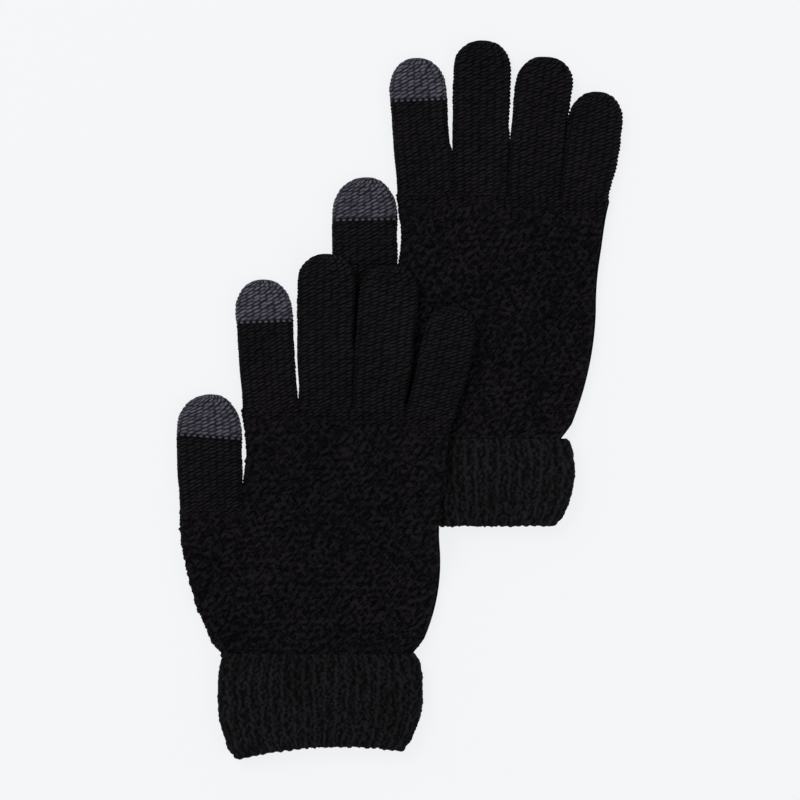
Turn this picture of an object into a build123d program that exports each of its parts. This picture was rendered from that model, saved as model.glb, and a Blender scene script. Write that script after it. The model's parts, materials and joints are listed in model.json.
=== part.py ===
from build123d import *

# A pair of knitted touchscreen gloves, one lying partly across the other on a flat surface.
#
# Each glove is a flat tube for the hand, five finger stalls, conductive tips on the thumb and the index
# finger, and a ribbed cuff that is turned back on itself over elastic threads. Either glove fits either
# hand. The two share the finger roots and the thumb's side of the hand. Each has its own stalls, inner side
# and cuff, as soft cloth lies a little differently each time. The top glove rests on the surface at its
# cuff, thumb and index finger, and climbs over the under glove.
# Millimetres, +Z up, fingertips towards +Y. The origin is on the surface, in the middle of the footprint.

import os
from dataclasses import dataclass
from math import cos, radians, sin

# Thickness of the knit and of a glove that lies flat
WALL = 1.2
CAVITY = 4.4
THICK = CAVITY + 2 * WALL
CUFF_WALL = 1.3
ELASTIC_GAP = 0.7
ELASTIC_THREAD = 0.4
ELASTIC_ROUNDS = 5
CUFF_LAYERS = 2 * CUFF_WALL + ELASTIC_GAP
CUFF_THICK = CAVITY + 2 * CUFF_LAYERS

# Room between pieces that move apart
HINGE_GAP = 0.15
SIDE_GAP = 0.25
REST_GAP = 0.3

# The pattern, from the middle of the wrist
THUMB_ROOT = (-62.6, 62.9)
WEB = (-33.3, 66.0)
INDEX_ROOT = (-35.0, 107.2)
LEFT_SIDE = (-55.4, 22.0)
WRIST_RISE = (CUFF_THICK - THICK) / 2
WRIST_RISE_LENGTH = 6.0

# The cuff: how much narrower than its fullest it is at the wrist and at the rim, and its shape
CUFF_WRIST_IN = 2.2
CUFF_RIM_IN = 3.6
CUFF_CORNER = 7.0
CUFF_BELLY = 0.42

# The conductive tips
TIP_LENGTH = 18.0
JOIN_COURSE = 1.2

# Sizes of the construction solids that the pieces are cut with
REACH = 260.0
DEEP = 30.0
PAST_WRIST = 1.0


@dataclass(frozen=True)
class Stall:
    """One finger stall: its width, its length and the degrees that it leans to the right."""

    name: str
    width: float
    length: float
    lean: float
    tip_tilt: float = 0.0
    conductive: bool = False


@dataclass(frozen=True)
class Glove:
    """One glove, placed by the middle of its wrist. Its sides and its cuff's middle are measured from there.

    The sides are where the wrist starts at the left and the right, then three points up the right side.
    """

    name: str
    wrist: tuple
    wrist_ends: tuple
    right_side: tuple
    cuff_length: float
    cuff_half: float
    cuff_middle: float
    stalls: tuple

    @property
    def thumb(self):
        return self.stalls[0]

    @property
    def fingers(self):
        return self.stalls[1:]

    @property
    def cuff_wrist_half(self):
        return self.cuff_half - CUFF_WRIST_IN

    @property
    def cuff_rim_half(self):
        return self.cuff_half - CUFF_RIM_IN

    @property
    def cuff_origin(self):
        return self.wrist[0] + self.cuff_middle, self.wrist[1]


UNDER = Glove(
    "under",
    wrist=(34.0, -17.8),
    wrist_ends=(-43.4, 38.9),
    right_side=((47.6, 25.0), (51.9, 55.0), (53.8, 80.0)),
    cuff_length=38.5,
    cuff_half=43.3,
    cuff_middle=0.0,
    stalls=(
        Stall("thumb", 28.5, 51.4, -1.2, conductive=True),
        Stall("index", 24.9, 59.4, -2.4, conductive=True),
        Stall("middle", 23.7, 66.8, 1.4),
        Stall("ring", 23.2, 61.0, 4.4),
        Stall("little", 23.4, 47.8, 5.8),
    ),
)
TOP = Glove(
    "top",
    wrist=(-33.9, -112.0),
    wrist_ends=(-45.5, 41.8),
    right_side=((49.2, 20.0), (50.8, 50.0), (53.2, 78.0)),
    cuff_length=45.0,
    cuff_half=45.2,
    cuff_middle=-0.6,
    stalls=(
        Stall("thumb", 28.5, 50.2, -1.8, tip_tilt=-6.0, conductive=True),
        Stall("index", 24.9, 56.4, -2.2, conductive=True),
        Stall("middle", 23.7, 67.0, 0.8),
        Stall("ring", 23.2, 63.2, 3.6),
        Stall("little", 23.4, 48.9, 10.8),
    ),
)

# How the top glove climbs: a ramp across the hand, and the heights from its wrist to its fingertips
OVER_HAND = THICK + REST_GAP
OVER_CUFF = CUFF_THICK + REST_GAP
CLIMB_ANGLE = 9.3
CLIMB = ((-35.8, 0.0), (-18.8, OVER_CUFF))
CLIMB_START = 23.0
CLIMB_CLEAR = 3.0
UNDER_CUFF_END = UNDER.wrist[1] - UNDER.cuff_length
HEIGHTS = (
    (UNDER_CUFF_END - CLIMB_START, 0.0),
    (UNDER_CUFF_END - CLIMB_CLEAR, OVER_CUFF),
    (UNDER.wrist[1] + REST_GAP, OVER_CUFF),
    (UNDER.wrist[1] + WRIST_RISE_LENGTH + REST_GAP, OVER_HAND),
)


def roots(glove):
    """The corners of the hand between which each finger stall starts, from the index finger's outer side."""
    x, y = INDEX_ROOT
    corners = [(x, y)]
    for stall in glove.fingers:
        x += stall.width * cos(radians(stall.lean))
        y -= stall.width * sin(radians(stall.lean))
        corners.append((x, y))
    return corners


def root_middle(glove, stall):
    """The middle of a stall's root, where its flex axis is, from the middle of the wrist."""
    if stall is glove.thumb:
        x, y = THUMB_ROOT
    else:
        x, y = roots(glove)[glove.fingers.index(stall)]
    half = stall.width / 2
    return x + half * cos(radians(stall.lean)), y - half * sin(radians(stall.lean))


def ground(profile, lift):
    """Everything below a height that changes along +Y, from (y, height) points, raised by lift."""
    (first, low), (last, high) = profile[0], profile[-1]
    line = [(-REACH, low + lift)]
    line += [(y, height + lift) for y, height in profile]
    line += [(REACH, high + lift), (REACH, -DEEP), (-REACH, -DEEP)]
    side = Wire.make_polygon([Vector(-REACH, y, z) for y, z in line], close=True)
    return extrude(Face(side), amount=2 * REACH, dir=(1, 0, 0))


def below(glove, lift):
    """Everything below the glove's lower face, raised by lift."""
    wrist = glove.wrist[1]
    rise = ((wrist, WRIST_RISE), (wrist + WRIST_RISE_LENGTH, 0.0))
    solid = ground(rise, lift)
    if glove is TOP:
        across = Rot(0, 0, CLIMB_ANGLE - 90) * ground(CLIMB, lift)
        solid = solid + (across & ground(HEIGHTS, lift))
    return solid


def layer(glove, low, high):
    """The sheet of space between two heights above the glove's lower face."""
    return below(glove, high) - below(glove, low)


def prism(plan, low=-DEEP, high=DEEP):
    return Pos(0, 0, low) * extrude(plan, amount=high - low, dir=(0, 0, 1))


def stall_plan(stall, inset, start):
    """The outline of a stall with its root on y = start, drawn inset from its outer face."""
    half = stall.width / 2 - SIDE_GAP - inset
    shoulder = stall.length - inset - half
    sides = Polyline((-half, shoulder), (-half, start), (half, start), (half, shoulder))
    tip = ThreePointArc((half, shoulder), (0, stall.length - inset), (-half, shoulder))
    return make_face(sides + tip)


def cut_across(stall, start, end):
    """The part of the plan between two distances along a stall, with the tilt of its tip's first course."""
    wide = 2 * stall.width
    band = make_face(Polyline((-wide, start), (wide, start), (wide, end), (-wide, end), close=True))
    middle = stall.length - TIP_LENGTH
    return Pos(0, middle) * Rot(0, 0, stall.tip_tilt) * Pos(0, -middle) * band


def stall_pieces(glove, stall, shell, hollow):
    """The stall's solids by node name: the stall, and the tip and its first course if it is conductive."""
    x, y = root_middle(glove, stall)
    place = Pos(glove.wrist[0] + x, glove.wrist[1] + y) * Rot(0, 0, -stall.lean)
    outside = shell & prism(place * stall_plan(stall, 0, HINGE_GAP))
    inside = hollow & prism(place * stall_plan(stall, WALL, -HINGE_GAP))
    whole = outside - inside
    name = f"{glove.name}_{stall.name}"
    if not stall.conductive:
        return {f"{name}_finger": whole}
    tip_start = stall.length - TIP_LENGTH
    join_start = tip_start - JOIN_COURSE
    tube = name if stall is glove.thumb else f"{name}_finger"
    bands = {
        tube: (-REACH, join_start),
        f"{name}_tip_join": (join_start, tip_start),
        f"{name}_tip": (tip_start, REACH),
    }
    return {node: whole & prism(place * cut_across(stall, *ends)) for node, ends in bands.items()}


def hand_plan(glove):
    """The outline of the hand, from the wrist round the thumb's root, the finger roots and back."""
    corners = [(x, y - HINGE_GAP) for x, y in roots(glove)]
    thumb_x, thumb_y = THUMB_ROOT
    turn = radians(glove.thumb.lean)
    thumb_left = (thumb_x, thumb_y - HINGE_GAP)
    thumb_right = (
        thumb_x + glove.thumb.width * cos(turn),
        thumb_y - HINGE_GAP - glove.thumb.width * sin(turn),
    )
    lower, waist, upper = glove.right_side
    wrist_left, wrist_right = glove.wrist_ends
    outline = (
        ThreePointArc((wrist_left, 0), LEFT_SIDE, thumb_left)
        + Polyline(thumb_left, thumb_right, WEB, *corners)
        + ThreePointArc(corners[-1], upper, waist)
        + ThreePointArc(waist, lower, (wrist_right, 0))
        + Line((wrist_right, 0), (wrist_left, 0))
    )
    return make_face(outline)


def hand(glove, shell, hollow):
    """The hand's tube, open to the cuff, the thumb and the four fingers."""
    at_wrist = Pos(*glove.wrist)
    plan = hand_plan(glove)
    inner = offset(plan, amount=-WALL, kind=Kind.INTERSECTION)
    doorway = 4 * WALL
    cuff_inside = 2 * (glove.cuff_wrist_half - CUFF_LAYERS)
    openings = prism(at_wrist * inner)
    openings += prism(Pos(*glove.cuff_origin) * Rectangle(cuff_inside, doorway))
    for stall in glove.stalls:
        x, y = root_middle(glove, stall)
        wide = stall.width - 2 * (SIDE_GAP + WALL)
        place = at_wrist * Pos(x, y) * Rot(0, 0, -stall.lean)
        openings += prism(place * Rectangle(wide, doorway))
    return (shell & prism(at_wrist * plan)) - (hollow & openings)


def cuff_plan(glove, inset, past_wrist=0.0):
    """The cuff's outline, drawn inset from its outer face, running past the wrist's seam if asked."""
    length = glove.cuff_length - inset
    top, bulge = glove.cuff_wrist_half - inset, glove.cuff_half - inset
    low = glove.cuff_rim_half - inset
    corner = CUFF_CORNER - inset
    rim = low - corner
    belly_y = -CUFF_BELLY * length
    half_turn = corner * (1 - cos(radians(45)))
    right = (
        Polyline((0, past_wrist), (top, past_wrist), (top, 0))
        if past_wrist
        else Line((0, 0), (top, 0))
    )
    right += ThreePointArc((top, 0), (bulge, belly_y), (low, corner - length))
    right += ThreePointArc((low, corner - length), (low - half_turn, half_turn - length), (rim, -length))
    right += Line((rim, -length), (0, -length))
    half = make_face(right + Line((0, -length), (0, past_wrist)))
    return half + mirror(half, Plane.YZ)


def cuff_space(glove, inset):
    """The cuff's body, inset from its outer face, open past the wrist when inset."""
    plan = Pos(*glove.cuff_origin) * cuff_plan(glove, inset, past_wrist=PAST_WRIST if inset else 0.0)
    return prism(plan, inset, CUFF_THICK - inset)


def cuff(glove):
    """The turned-back layer with its folded rim, the layer under it, and the elastic between them."""
    wrist_x, wrist_y = glove.cuff_origin
    mouth_half = glove.cuff_rim_half - CUFF_CORNER - CUFF_WALL
    mouth = Pos(wrist_x, wrist_y - glove.cuff_length, CUFF_THICK / 2) * Box(
        2 * mouth_half, 4 * CUFF_LAYERS, CAVITY
    )
    below_wrist = Pos(wrist_x, wrist_y - REACH / 2, 0) * Box(REACH, REACH, 2 * REACH)
    hollow = cuff_space(glove, CUFF_LAYERS) + mouth
    outer = cuff_space(glove, 0) - cuff_space(glove, CUFF_WALL) - mouth
    inner = (cuff_space(glove, CUFF_WALL + ELASTIC_GAP) & below_wrist) - hollow
    slack = (ELASTIC_GAP - ELASTIC_THREAD) / 2
    thread_out = cuff_space(glove, CUFF_WALL + slack)
    thread_in = cuff_space(glove, CUFF_WALL + slack + ELASTIC_THREAD)
    pitch = (glove.cuff_length - 2 * CUFF_CORNER) / ELASTIC_ROUNDS
    rounds = [
        Pos(wrist_x, wrist_y - pitch * (i + 0.5), 0) * Box(REACH, ELASTIC_THREAD, 2 * REACH)
        for i in range(ELASTIC_ROUNDS)
    ]
    thread = (thread_out - thread_in) & Compound(rounds)
    return {
        f"{glove.name}_cuff_outer": outer,
        f"{glove.name}_cuff_inner": inner,
        f"{glove.name}_cuff_elastic": thread,
    }


def glove_pieces(glove):
    shell = layer(glove, 0, THICK)
    hollow = layer(glove, WALL, THICK - WALL)
    pieces = {f"{glove.name}_hand": hand(glove, shell, hollow)}
    for stall in glove.stalls:
        pieces |= stall_pieces(glove, stall, shell, hollow)
    return pieces | cuff(glove)


def build():
    """Every node's solids, in the frame."""
    return glove_pieces(UNDER) | glove_pieces(TOP)


if __name__ == "__main__":
    os.makedirs("parts", exist_ok=True)
    nodes = build()
    for node, shape in nodes.items():
        export_step(Compound(shape.solids()), f"parts/{node}.step")
    box = Compound([s for shape in nodes.values() for s in shape.solids()]).bounding_box()
    print(len(nodes), "nodes", box.min, box.max)
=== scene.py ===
import json
import math
from collections import Counter

import bpy
import numpy as np
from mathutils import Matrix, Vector
from mathutils.bvhtree import BVHTree


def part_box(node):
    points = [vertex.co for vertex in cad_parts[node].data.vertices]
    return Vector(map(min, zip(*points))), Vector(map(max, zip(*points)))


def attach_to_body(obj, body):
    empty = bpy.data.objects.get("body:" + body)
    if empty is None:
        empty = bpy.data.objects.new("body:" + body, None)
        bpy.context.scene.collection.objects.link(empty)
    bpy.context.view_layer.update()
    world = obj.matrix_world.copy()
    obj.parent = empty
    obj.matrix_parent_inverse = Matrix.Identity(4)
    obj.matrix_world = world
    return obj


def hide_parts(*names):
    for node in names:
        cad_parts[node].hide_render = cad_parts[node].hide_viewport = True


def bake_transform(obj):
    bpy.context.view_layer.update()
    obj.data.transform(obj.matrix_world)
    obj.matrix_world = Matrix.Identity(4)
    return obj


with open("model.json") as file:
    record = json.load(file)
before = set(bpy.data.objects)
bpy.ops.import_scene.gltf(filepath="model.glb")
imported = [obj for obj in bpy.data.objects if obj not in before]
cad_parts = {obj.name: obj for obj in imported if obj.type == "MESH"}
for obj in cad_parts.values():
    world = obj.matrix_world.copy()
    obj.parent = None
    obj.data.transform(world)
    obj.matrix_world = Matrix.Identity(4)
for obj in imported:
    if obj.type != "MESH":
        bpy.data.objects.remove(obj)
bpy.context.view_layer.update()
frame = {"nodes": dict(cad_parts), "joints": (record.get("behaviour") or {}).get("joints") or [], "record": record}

# Each glove is one soft pillow over its own plan, and the pieces are parts of it. A point's height comes
# from how far it is from the glove's free edges, so neighbouring pieces meet with no step. Stitches are real
# relief on that surface. Sizes are in metres. Places come from the frame, with small named allowances for how
# soft cloth lies.

MM = 0.001
SEED = 11

# The cloth: how thick a glove lies, how thick its wall is, and how finely it is meshed
GLOVE_THICK = 5.8 * MM
EDGE_ROUND = GLOVE_THICK / 2
TIP_ROUND = 4.6 * MM
TIP_FADE = 3 * MM
WALL = 1.2 * MM
SIDE_GAP = 0.25 * MM
CELL = 0.42 * MM
ROW_CELL = 0.31 * MM
HAND_CELL = 0.57 * MM
SKIN_STEP = 7
WELD = 0.004 * MM

# The share of its relief that the cloth's underside keeps, and how far pieces run on under their neighbours
UNDERSIDE = 0.32
HAND_TUCK = 2.0 * MM
STALL_TUCK = 0.8 * MM

# How the top glove settles over the other
DRAPE_STEP = 1.0 * MM
DRAPE_BLUR = 2.4 * MM

# The cuff: its two layers, the lip at the wrist, the fold at its rim, and how it narrows and swells
CUFF_HALF_THICK = 4.45 * MM
CUFF_LIP_THICK = 3.5 * MM
CUFF_LIP = 3.2 * MM
CUFF_LIP_IN = 0.9 * MM
CUFF_HEM = 12.0 * MM
CUFF_HEM_IN = 1.8 * MM
CUFF_SWELL = 0.3 * MM
CUFF_WALL = 1.3 * MM
CUFF_FOLD = 1.65 * MM
CUFF_RETURN = 1.5 * MM
CUFF_LAYERS = 2 * CUFF_FOLD
INNER_START = 2.4 * MM
ELASTIC_ROUNDS = 5
ELASTIC_INSET = 1.65 * MM
ELASTIC_RADIUS = 0.2 * MM

# How many mm the cuff's lower edge hangs past its CAD solid at the left, the middle and the right
CUFF_HANG = {"under": (-0.6, -0.6, -0.6), "top": (0.6, -4.2, -2.8)}

# Stitches: wale is the width of one and course is its height. A stitch's shape is its slant in degrees, its
# half length and its half width.
FINE_WALE = 3.1 * MM
FINE_COURSE = 1.61 * MM
FINE_RELIEF = 0.42 * MM
FINE_SLANT = 22.0
FINE_STITCH = (FINE_SLANT, 1.9 * MM, 0.56 * MM)

DASH = 2.7 * MM
DASH_SHARE = 0.36
DASH_HALF_HIGH = 0.62 * MM
DASH_RELIEF = 0.40 * MM
DASH_FURROW = 0.55 * MM
DASH_FADE = 0.9 * MM

CRINKLE = 3.5 * MM
CRINKLE_ROW = 3.0 * MM
CRINKLE_RELIEF = 0.50 * MM
CRINKLE_RISING = (30.0, 1.9 * MM, 1.0 * MM)
CRINKLE_FALLING = (-48.0, 1.7 * MM, 0.8 * MM)
CRINKLE_SHIFT = (1.7 * MM, 0.9 * MM)
CRINKLE_WARP = (1.6 * MM, 1.8 * MM)
CRINKLE_WARP_LENGTH = (5 * MM, 4 * MM)
CRINKLE_GRAIN = 0.34 * MM
GRAIN_WALE = 1.9 * MM
GRAIN_COURSE = 1.35 * MM
GRAIN_STITCH = (35.0, 1.1 * MM, 0.5 * MM)

RIB = 4.5 * MM
RIB_RELIEF = 0.35 * MM
RIB_COURSE = 2.0 * MM
RIB_GRAIN = 0.46 * MM
RIB_SLANT = 28.0
RIB_STITCH_SIZE = (1.3 * MM, 0.75 * MM)
RIB_BESIDE = (60.0, 1.1 * MM, 0.6 * MM)
RIB_WANDER = 0.9 * MM
RIB_WANDER_LENGTH = (9 * MM, 5 * MM)
RIB_PATCH = 3 * MM
# How much of a rib's painted shading comes from its ridges and how much from its stitches
RIB_SHADING_SHARE = (0.30, 0.70)

WOBBLE = 0.28 * MM
WOBBLE_LENGTH = 5.0 * MM

# Where the hand's knit changes: how far below the fingers, past the thumb's side and below the thumb's root
# the coarse knit starts, how far each change takes, and how ragged it is
COARSE_START = (3.5 * MM, 4.0 * MM, 1.0 * MM)
COARSE_FADE = (6.0 * MM, 7.0 * MM, 8.0 * MM)
RAGGED = 5.0 * MM
RAGGED_LENGTH = 4 * MM

# Stitches stand proud of the cloth, so the cloth starts this far inside its CAD solid
PROUD = 0.45 * MM

# Soft stalls against their straight CAD solids: how much fuller the left and right sides lie, and how far
# the stall bows to the right
FLARE = {
    "thumb": (1.0 * MM, 0.4 * MM),
    "index": (1.0 * MM, 0.0 * MM),
    "middle": (1.6 * MM, 0.8 * MM),
    "ring": (1.2 * MM, 2.2 * MM),
    "little": (-0.5 * MM, 0.9 * MM),
}
BOW = {"thumb": 0.9 * MM, "index": -0.9 * MM, "middle": 0.0 * MM, "ring": 1.1 * MM, "little": 1.2 * MM}
FULLEST = 0.36

# Neighbouring stalls press together where their CAD solids are nearer than this. The left one of each pair
# names it.
PRESS = {
    "under": {"index": 2.1 * MM, "middle": 2.1 * MM, "ring": 2.1 * MM},
    "top": {"index": 1.1 * MM, "middle": 2.1 * MM, "ring": 1.1 * MM},
}
PRESS_FADE = 0.6 * MM
PRESS_OVERLAP = 0.15 * MM

# The cloth is drawn in at the little finger's outer root, and at the wrist, where the cuff holds it
GATHER = 1.7 * MM
GATHER_LENGTH = 24.0 * MM
PINCH = 1.9 * MM
PINCH_LENGTH = 5.0 * MM

# A fingertip's taper: its length against the half width, and how blunt it is
TIP_TAPER = {"thumb": 1.4, "index": 1.25, "middle": 1.12, "ring": 1.12, "little": 1.4}
TIP_BLUNT = {"thumb": 2.4, "index": 2.3, "middle": 2.2, "ring": 2.2, "little": 2.3}

# The thumb and the hand overlap from WEB_START to WEB_RISE above the thumb's root. Above that, the hand's
# edge hollows away from the thumb.
WEB_RISE = 6.5 * MM
WEB_START = 1.0 * MM
WEB_HOLLOW = 2.1 * MM
WEB_OVERLAP = 0.7 * MM

# Where a finger's bend would start and end, measured from its root. Nothing bends it; the end also sets how far
# the free sides of a stall ease in from the root.
BEND_START = -1.0 * MM
BEND_END = 15.0 * MM


def cad_points(*nodes):
    """Every vertex of some CAD nodes, in the frame."""
    return np.concatenate([np.array([v.co for v in frame["nodes"][n].data.vertices]) for n in nodes])


def smooth(t):
    t = np.clip(t, 0.0, 1.0)
    return t * t * (3.0 - 2.0 * t)


def hashed(i, j, salt=0):
    """A repeatable number from 0 to 1 for each pair of whole numbers."""
    v = np.sin(i * 127.1 + j * 311.7 + (salt + SEED) * 74.7) * 43758.5453
    return v - np.floor(v)


def value_noise(x, y, salt=0):
    """Soft noise from 0 to 1 over a plane, with cells one unit wide."""
    i, j = np.floor(x), np.floor(y)
    u, v = smooth(x - i), smooth(y - j)
    low = hashed(i, j, salt) * (1 - u) + hashed(i + 1, j, salt) * u
    high = hashed(i, j + 1, salt) * (1 - u) + hashed(i + 1, j + 1, salt) * u
    return low * (1 - v) + high * v


# ---------------- stitches


def grains(c, v, wale, course, slant, length, width, stagger=0.5, jitter=0.1, salt=0):
    """Separate slanting stitches on a lattice. Gives 0 between them and 1 along their middles."""
    turn = math.radians(slant)
    row = np.floor(v / course)
    best = np.zeros(np.broadcast(c, v).shape)
    for up in (-1, 0, 1):
        r = row + up
        offset = stagger * (r % 2)
        col = np.floor(c / wale - offset)
        for over in (-1, 0, 1):
            k = col + over
            x = c - (k + 0.5 + offset + jitter * (hashed(k, r, salt) - 0.5)) * wale
            y = v - (r + 0.5 + jitter * (hashed(k, r, salt + 1) - 0.5)) * course
            along = x * math.cos(turn) + y * math.sin(turn)
            across = y * math.cos(turn) - x * math.sin(turn)
            shape = np.clip(1 - (along / length) ** 2 - (across / width) ** 2, 0, 1)
            tall = 1.0 + jitter * (2.4 * hashed(k, r, salt + 2) - 1.2)
            best = np.maximum(best, np.sqrt(shape) * tall)
    return best


def wobble(c, v):
    """The slow unevenness of hand-soft cloth."""
    return WOBBLE * (2 * value_noise(c / WOBBLE_LENGTH, v / WOBBLE_LENGTH, 20) - 1)


def fine_knit(c, v):
    """Plain knit whose stitches show as long thin grains that rise to the right."""
    return FINE_RELIEF * grains(c, v, FINE_WALE, FINE_COURSE, *FINE_STITCH, stagger=0, jitter=0.24, salt=1)


def textured_knit(c, v):
    """Uneven raised clumps of stitches, with a fine grain over them."""
    over, up = CRINKLE_WARP
    long, short = CRINKLE_WARP_LENGTH
    c2 = c + over * (value_noise(c / long, v / long, 6) - 0.5)
    v2 = v + up * (value_noise(c / short, v / short, 7) - 0.5)
    rising = grains(c2, v2, CRINKLE, CRINKLE_ROW, *CRINKLE_RISING, jitter=0.5, salt=8)
    c3, v3 = c2 + CRINKLE_SHIFT[0], v2 + CRINKLE_SHIFT[1]
    falling = grains(c3, v3, CRINKLE, CRINKLE_ROW, *CRINKLE_FALLING, jitter=0.6, salt=12)
    clump = np.maximum(rising, 0.9 * falling)
    fine = grains(c, v, GRAIN_WALE, GRAIN_COURSE, *GRAIN_STITCH, jitter=0.6, salt=4)
    return CRINKLE_RELIEF * clump + CRINKLE_GRAIN * fine


def rib_knit(c, v):
    """Upright ribs of stitches that lean together in pairs, with a soft channel between ribs.

    Gives the relief and the painted shading: lighter on the ridges and stitches, darker in the channels between
    ribs.
    """
    wide, high = RIB_WANDER_LENGTH
    c2 = c + RIB_WANDER * (value_noise(c / wide, v / high, 16) - 0.5)
    a = c2 / RIB
    ridge = np.clip(0.5 - 0.62 * np.cos(2 * np.pi * a), 0, 1) ** 0.8
    half = RIB / 2
    upright = {"stagger": 0, "jitter": 0.4}
    left = grains(c2, v, RIB, RIB_COURSE, 90 - RIB_SLANT, *RIB_STITCH_SIZE, **upright, salt=17)
    right = grains(c2 + half, v, RIB, RIB_COURSE, 90 + RIB_SLANT, *RIB_STITCH_SIZE, **upright, salt=18)
    c3, v3 = c2 + half / 2, v + RIB_COURSE / 2
    beside = grains(c3, v3, half, RIB_COURSE, *RIB_BESIDE, stagger=0, jitter=0.5, salt=21)
    stitch = np.maximum(np.maximum(left, right), 0.85 * beside)
    uneven = 0.6 + 0.8 * value_noise(np.floor(a) * 3.7, v / RIB_PATCH, 19)
    of_ridge, of_stitch = RIB_SHADING_SHARE
    relief = RIB_RELIEF * ridge * uneven + RIB_GRAIN * stitch
    return relief, of_ridge * ridge * uneven + of_stitch * stitch


def join_course(c, v, middle):
    """The linking course: one row of separate dashes, with a groove on each side. Gives the relief and the dash
    mask, which marks the dashes' lighter yarn and the painted shade between them.
    """
    a = c / DASH
    col = np.floor(a)
    p = a - col
    across = np.clip(1 - ((v - middle) / DASH_HALF_HIGH) ** 2, 0, 1) ** 0.5
    dash = np.clip(1 - (np.abs(p - 0.5) / DASH_SHARE) ** 4, 0, 1)
    return DASH_RELIEF * across * dash * (0.85 + 0.3 * hashed(col, 0, 5)), across * dash


# ---------------- the frame's shapes


def plane_cut(node, axis, value):
    """The points where a CAD node's edges cross a plane."""
    mesh = frame["nodes"][node].data
    co = np.array([v.co for v in mesh.vertices])
    ends = np.array([e.vertices[:] for e in mesh.edges])
    a, b = co[ends[:, 0]], co[ends[:, 1]]
    da, db = a[:, axis] - value, b[:, axis] - value
    hit = (da <= 0) != (db <= 0)
    t = (da[hit] / (da[hit] - db[hit]))[:, None]
    return a[hit] + (b[hit] - a[hit]) * t


class Stall:
    """A finger stall's place in the frame, worked out from its CAD nodes."""

    def __init__(self, glove, finger):
        tube = f"{glove}_thumb" if finger == "thumb" else f"{glove}_{finger}_finger"
        self.glove, self.finger, self.tube = glove, finger, tube
        self.join = f"{glove}_{finger}_tip_join" if finger in ("thumb", "index") else None
        self.tip = f"{glove}_{finger}_tip" if self.join else None
        self.nodes = [tube] + [n for n in (self.join, self.tip) if n]
        joint = [j for j in frame["joints"] if j["child"] == f"{glove}_{finger}"]
        points = cad_points(*self.nodes)[:, :2]
        if joint:
            self.root = np.array(joint[0]["pos_m"][:2])
            self.across = np.array(joint[0]["axis"][:2])
        else:
            self.root, self.across = self.find_root(points)
        self.body = f"{glove}_{finger}" if joint else f"{glove}_glove"
        self.along = np.array([-self.across[1], self.across[0]])
        local = self.to_local(points)
        self.half = np.abs(local[:, 0]).max()
        self.length = local[:, 1].max()
        self.beside = {}

    def find_root(self, points):
        """For a stall with no joint: its root edge is the pair of corners lowest along +Y."""
        low = points[points[:, 1] < points[:, 1].min() + 0.9 * MM]
        left, right = low[low[:, 0].argmin()], low[low[:, 0].argmax()]
        across = (right - left) / np.linalg.norm(right - left)
        return (left + right) / 2, across

    def to_local(self, xy):
        d = xy - self.root
        return np.stack([d @ self.across, d @ self.along], -1)

    def to_world(self, x, y):
        return self.root + np.outer(x, self.across) + np.outer(y, self.along)

    def side(self, y, side):
        """How far one side of the stall is from its middle line, before its end is rounded."""
        y = np.asarray(y, float)
        flare = FLARE[self.finger][side > 0]
        free = self.half - PROUD + flare * smooth(y / self.length / FULLEST)
        neighbour = self.beside.get(side)
        if not neighbour:
            at_root = smooth(1 - y / BEND_END)
            gather = GATHER * smooth(1 - y / GATHER_LENGTH) if self.finger == "little" else 0
            return free + (self.half + SIDE_GAP - PROUD - free) * at_root - gather
        pair = self if side > 0 else neighbour
        points = self.to_world(np.full(y.size, side * self.half), y.ravel())
        gap = np.abs(neighbour.to_local(points)[:, 0]).reshape(y.shape) - neighbour.half
        pressed = smooth((PRESS[self.glove][pair.finger] - gap) / PRESS_FADE)
        return free + (self.half + gap / 2 + PRESS_OVERLAP - free) * pressed

    def half_width(self, y):
        """Half the stall's width at a distance from its root, with its round end."""
        body = (self.side(y, -1) + self.side(y, 1)) / 2
        taper = TIP_TAPER[self.finger] * self.half
        past = np.clip((y - self.length + taper) / taper, 0, 1)
        return body * np.sqrt(np.clip(1 - past ** TIP_BLUNT[self.finger], 0, 1))

    def bow(self, y):
        """How far the stall's middle has moved to the right at a distance from its root."""
        uneven = (self.side(y, 1) - self.side(y, -1)) / 2
        return uneven + BOW[self.finger] * np.clip(y / self.length, 0, 1) ** 2


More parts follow.
